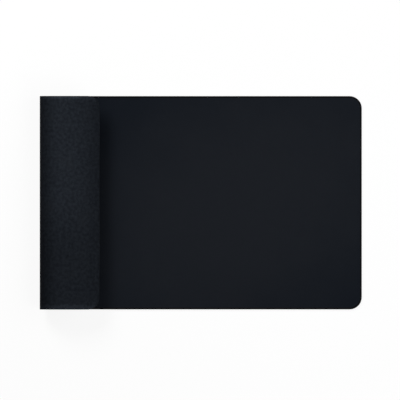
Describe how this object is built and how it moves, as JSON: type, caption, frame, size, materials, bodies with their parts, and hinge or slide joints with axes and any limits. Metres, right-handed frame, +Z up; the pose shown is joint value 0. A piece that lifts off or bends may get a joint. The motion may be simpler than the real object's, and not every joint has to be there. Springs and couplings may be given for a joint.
{
  "type": "desk pad",
  "caption": "Thin flexible desk pad with a smooth leatherette face, a foam core and a suede backing, its one end curled back over itself and free to unroll flat.",
  "frame": {"origin": "on the desk, under the middle of the pad as it lies with its end curled over", "axes": "+X along the pad, from the curled end to the flat end; +Y across the pad; +Z up from the desk"},
  "size_m": [0.528, 0.35, 0.0507],
  "materials": {
    "leather_top": "smooth semi-matt leatherette",
    "foam_core": "closed-cell foam, edge painted",
    "suede_backing": "napped suede microfibre"
  },
  "bodies": {
    "main_panel": {"leather_top_main": "leather_top", "foam_core_main": "foam_core", "suede_backing_main": "suede_backing"},
    "curl_strip_01": {"leather_top_curl_01": "leather_top", "foam_core_curl_01": "foam_core", "suede_backing_curl_01": "suede_backing"},
    "curl_strip_02": {"leather_top_curl_02": "leather_top", "foam_core_curl_02": "foam_core", "suede_backing_curl_02": "suede_backing"},
    "curl_strip_03": {"leather_top_curl_03": "leather_top", "foam_core_curl_03": "foam_core", "suede_backing_curl_03": "suede_backing"},
    "curl_strip_04": {"leather_top_curl_04": "leather_top", "foam_core_curl_04": "foam_core", "suede_backing_curl_04": "suede_backing"},
    "curl_strip_05": {"leather_top_curl_05": "leather_top", "foam_core_curl_05": "foam_core", "suede_backing_curl_05": "suede_backing"},
    "curl_strip_06": {"leather_top_curl_06": "leather_top", "foam_core_curl_06": "foam_core", "suede_backing_curl_06": "suede_backing"},
    "curl_strip_07": {"leather_top_curl_07": "leather_top", "foam_core_curl_07": "foam_core", "suede_backing_curl_07": "suede_backing"},
    "curl_strip_08": {"leather_top_curl_08": "leather_top", "foam_core_curl_08": "foam_core", "suede_backing_curl_08": "suede_backing"},
    "curl_strip_09": {"leather_top_curl_09": "leather_top", "foam_core_curl_09": "foam_core", "suede_backing_curl_09": "suede_backing"},
    "curl_strip_10": {"leather_top_curl_10": "leather_top", "foam_core_curl_10": "foam_core", "suede_backing_curl_10": "suede_backing"},
    "curl_strip_11": {"leather_top_curl_11": "leather_top", "foam_core_curl_11": "foam_core", "suede_backing_curl_11": "suede_backing"},
    "curl_strip_12": {"leather_top_curl_12": "leather_top", "foam_core_curl_12": "foam_core", "suede_backing_curl_12": "suede_backing"},
    "curl_strip_13": {"leather_top_curl_13": "leather_top", "foam_core_curl_13": "foam_core", "suede_backing_curl_13": "suede_backing"},
    "curl_strip_14": {"leather_top_curl_14": "leather_top", "foam_core_curl_14": "foam_core", "suede_backing_curl_14": "suede_backing"},
    "curl_strip_15": {"leather_top_curl_15": "leather_top", "foam_core_curl_15": "foam_core", "suede_backing_curl_15": "suede_backing"},
    "curl_strip_16": {"leather_top_curl_16": "leather_top", "foam_core_curl_16": "foam_core", "suede_backing_curl_16": "suede_backing"},
    "free_end": {"leather_top_end": "leather_top", "foam_core_end": "foam_core", "suede_backing_end": "suede_backing"}
  },
  "joints": [
    {"name": "unroll", "type": "hinge", "parent": "main_panel", "child": "curl_strip_01", "pos_m": [-0.23229, 0, 0.0015], "axis": [0, -1, 0], "range_deg": [0, 5]},
    {"name": "curl_hinge_02", "type": "hinge", "parent": "curl_strip_01", "child": "curl_strip_02", "pos_m": [-0.24097, 0, 0.00226], "axis": [0, -1, 0], "range_deg": [0, 10]},
    {"name": "curl_hinge_03", "type": "hinge", "parent": "curl_strip_02", "child": "curl_strip_03", "pos_m": [-0.24939, 0, 0.00451], "axis": [0, -1, 0], "range_deg": [0, 11.67]},
    {"name": "curl_hinge_04", "type": "hinge", "parent": "curl_strip_03", "child": "curl_strip_04", "pos_m": [-0.25354, 0, 0.0066], "axis": [0, -1, 0], "range_deg": [0, 13.33]},
    {"name": "curl_hinge_05", "type": "hinge", "parent": "curl_strip_04", "child": "curl_strip_05", "pos_m": [-0.2571, 0, 0.00958], "axis": [0, -1, 0], "range_deg": [0, 13.33]},
    {"name": "curl_hinge_06", "type": "hinge", "parent": "curl_strip_05", "child": "curl_strip_06", "pos_m": [-0.25987, 0, 0.01331], "axis": [0, -1, 0], "range_deg": [0, 13.33]},
    {"name": "curl_hinge_07", "type": "hinge", "parent": "curl_strip_06", "child": "curl_strip_07", "pos_m": [-0.26171, 0, 0.01757], "axis": [0, -1, 0], "range_deg": [0, 13.33]},
    {"name": "curl_hinge_08", "type": "hinge", "parent": "curl_strip_07", "child": "curl_strip_08", "pos_m": [-0.26251, 0, 0.02215], "axis": [0, -1, 0], "range_deg": [0, 13.33]},
    {"name": "curl_hinge_09", "type": "hinge", "parent": "curl_strip_08", "child": "curl_strip_09", "pos_m": [-0.26225, 0, 0.02678], "axis": [0, -1, 0], "range_deg": [0, 13.33]},
    {"name": "curl_hinge_10", "type": "hinge", "parent": "curl_strip_09", "child": "curl_strip_10", "pos_m": [-0.26091, 0, 0.03123], "axis": [0, -1, 0], "range_deg": [0, 13.33]},
    {"name": "curl_hinge_11", "type": "hinge", "parent": "curl_strip_10", "child": "curl_strip_11", "pos_m": [-0.25859, 0, 0.03525], "axis": [0, -1, 0], "range_deg": [0, 13.33]},
    {"name": "curl_hinge_12", "type": "hinge", "parent": "curl_strip_11", "child": "curl_strip_12", "pos_m": [-0.2554, 0, 0.03863], "axis": [0, -1, 0], "range_deg": [0, 13.33]},
    {"name": "curl_hinge_13", "type": "hinge", "parent": "curl_strip_12", "child": "curl_strip_13", "pos_m": [-0.24668, 0, 0.04437], "axis": [0, -1, 0], "range_deg": [0, 13.33]},
    {"name": "curl_hinge_14", "type": "hinge", "parent": "curl_strip_13", "child": "curl_strip_14", "pos_m": [-0.23686, 0, 0.04795], "axis": [0, -1, 0], "range_deg": [0, 13.33]},
    {"name": "curl_hinge_15", "type": "hinge", "parent": "curl_strip_14", "child": "curl_strip_15", "pos_m": [-0.22648, 0, 0.04916], "axis": [0, -1, 0], "range_deg": [0, 11.67]},
    {"name": "curl_hinge_16", "type": "hinge", "parent": "curl_strip_15", "child": "curl_strip_16", "pos_m": [-0.20911, 0, 0.04764], "axis": [0, -1, 0], "range_deg": [0, 10]},
    {"name": "curl_hinge_17", "type": "hinge", "parent": "curl_strip_16", "child": "free_end", "pos_m": [-0.19228, 0, 0.04313], "axis": [0, -1, 0], "range_deg": [0, 5]}
  ],
  "couplings": [
    {"joint": "curl_hinge_02", "follows": "unroll", "ratio": 2},
    {"joint": "curl_hinge_03", "follows": "unroll", "ratio": 2.3333},
    {"joint": "curl_hinge_04", "follows": "unroll", "ratio": 2.6667},
    {"joint": "curl_hinge_05", "follows": "unroll", "ratio": 2.6667},
    {"joint": "curl_hinge_06", "follows": "unroll", "ratio": 2.6667},
    {"joint": "curl_hinge_07", "follows": "unroll", "ratio": 2.6667},
    {"joint": "curl_hinge_08", "follows": "unroll", "ratio": 2.6667},
    {"joint": "curl_hinge_09", "follows": "unroll", "ratio": 2.6667},
    {"joint": "curl_hinge_10", "follows": "unroll", "ratio": 2.6667},
    {"joint": "curl_hinge_11", "follows": "unroll", "ratio": 2.6667},
    {"joint": "curl_hinge_12", "follows": "unroll", "ratio": 2.6667},
    {"joint": "curl_hinge_13", "follows": "unroll", "ratio": 2.6667},
    {"joint": "curl_hinge_14", "follows": "unroll", "ratio": 2.6667},
    {"joint": "curl_hinge_15", "follows": "unroll", "ratio": 2.3333},
    {"joint": "curl_hinge_16", "follows": "unroll", "ratio": 2},
    {"joint": "curl_hinge_17", "follows": "unroll", "ratio": 1}
  ]
}
